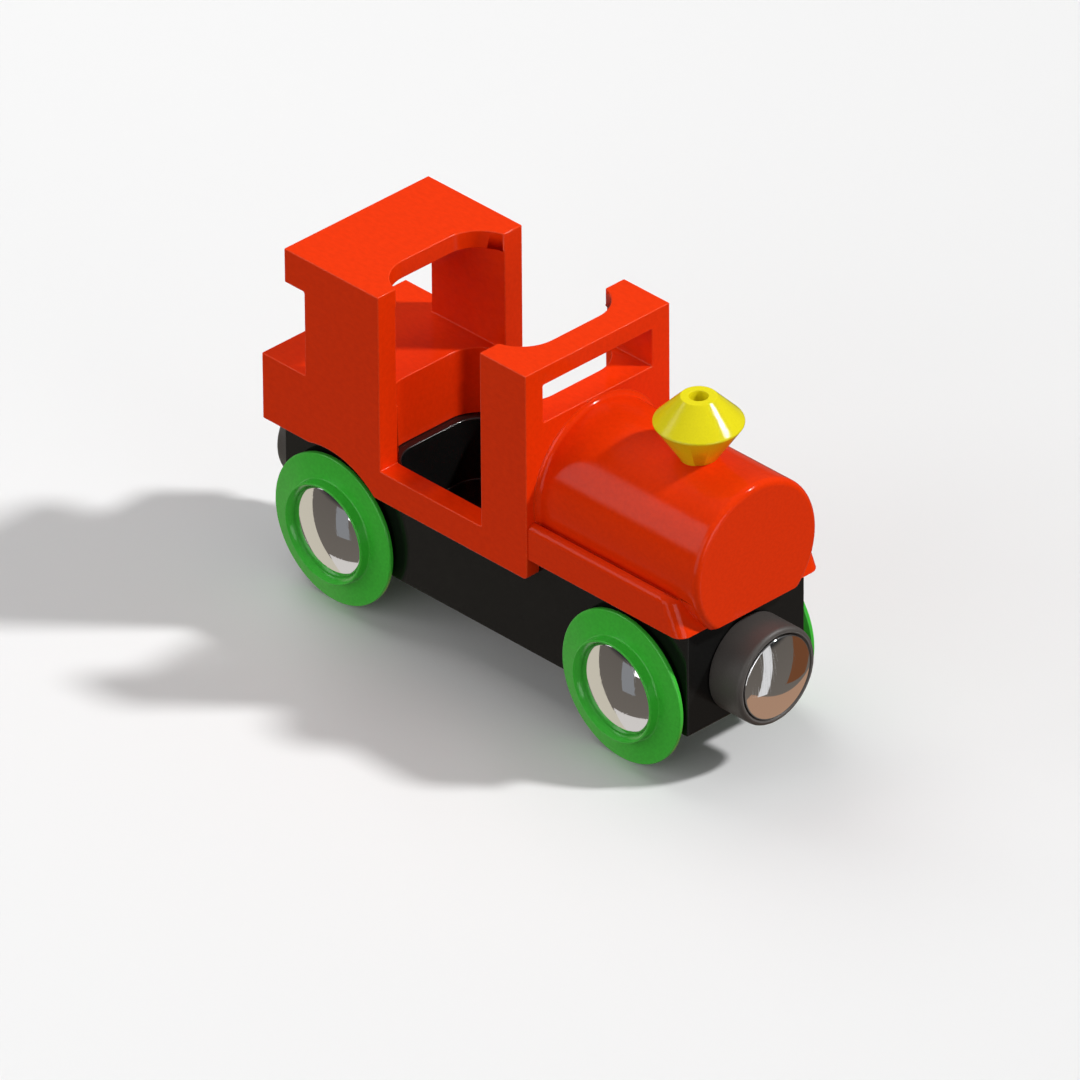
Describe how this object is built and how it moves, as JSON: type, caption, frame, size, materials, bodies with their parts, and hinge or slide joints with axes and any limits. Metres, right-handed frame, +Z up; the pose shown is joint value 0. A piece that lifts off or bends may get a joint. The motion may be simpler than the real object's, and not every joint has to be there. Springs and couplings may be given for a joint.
{
  "type": "model train",
  "caption": "Toy steam engine for a wooden railway: open cab with a driver's well, round boiler, double-cone chimney, disc wheels and turning magnetic couplers.",
  "frame": {"origin": "on the ground under the wheels, midway between the two couplers' tips and on the centre line", "axes": "+X towards the front of the engine (boiler end), +Y towards its left side, +Z up"},
  "size_m": [0.11, 0.0354, 0.0631],
  "materials": {
    "black_plastic": "glossy black moulded plastic",
    "red_plastic": "glossy orange-red moulded plastic",
    "yellow_plastic": "glossy lemon-yellow moulded plastic",
    "green_plastic": "glossy mid-green moulded plastic",
    "grey_plastic": "matt dark-grey moulded plastic",
    "chrome": "bright chromed steel",
    "magnet": "sintered ferrite, dark grey",
    "steel": "bright drawn steel wire"
  },
  "bodies": {
    "body": {"chassis": "black_plastic", "cab": "red_plastic", "boiler": "red_plastic", "chimney": "yellow_plastic", "front_coupler_sleeve": "grey_plastic", "rear_coupler_sleeve": "grey_plastic", "body_screws": "steel"},
    "front_wheelset": {"front_axle": "steel", "front_left_wheel": "green_plastic", "front_right_wheel": "green_plastic", "front_left_hub_cap": "chrome", "front_right_hub_cap": "chrome"},
    "rear_wheelset": {"rear_axle": "steel", "rear_left_wheel": "green_plastic", "rear_right_wheel": "green_plastic", "rear_left_hub_cap": "chrome", "rear_right_hub_cap": "chrome"},
    "front_magnet_unit": {"front_magnet": "magnet", "front_magnet_cap": "chrome", "front_magnet_pin": "steel"},
    "rear_magnet_unit": {"rear_magnet": "magnet", "rear_magnet_cap": "chrome", "rear_magnet_pin": "steel"}
  },
  "joints": [
    {"name": "front_axle_spin", "type": "hinge", "parent": "body", "child": "front_wheelset", "pos_m": [0.03335, 0, 0.0135], "axis": [0, 1, 0], "continuous": true},
    {"name": "rear_axle_spin", "type": "hinge", "parent": "body", "child": "rear_wheelset", "pos_m": [-0.03335, 0, 0.0135], "axis": [0, 1, 0], "continuous": true},
    {"name": "front_magnet_spin", "type": "hinge", "parent": "body", "child": "front_magnet_unit", "pos_m": [0.05, 0, 0.0177], "axis": [1, 0, 0], "continuous": true},
    {"name": "rear_magnet_spin", "type": "hinge", "parent": "body", "child": "rear_magnet_unit", "pos_m": [-0.05, 0, 0.0177], "axis": [1, 0, 0], "continuous": true}
  ]
}
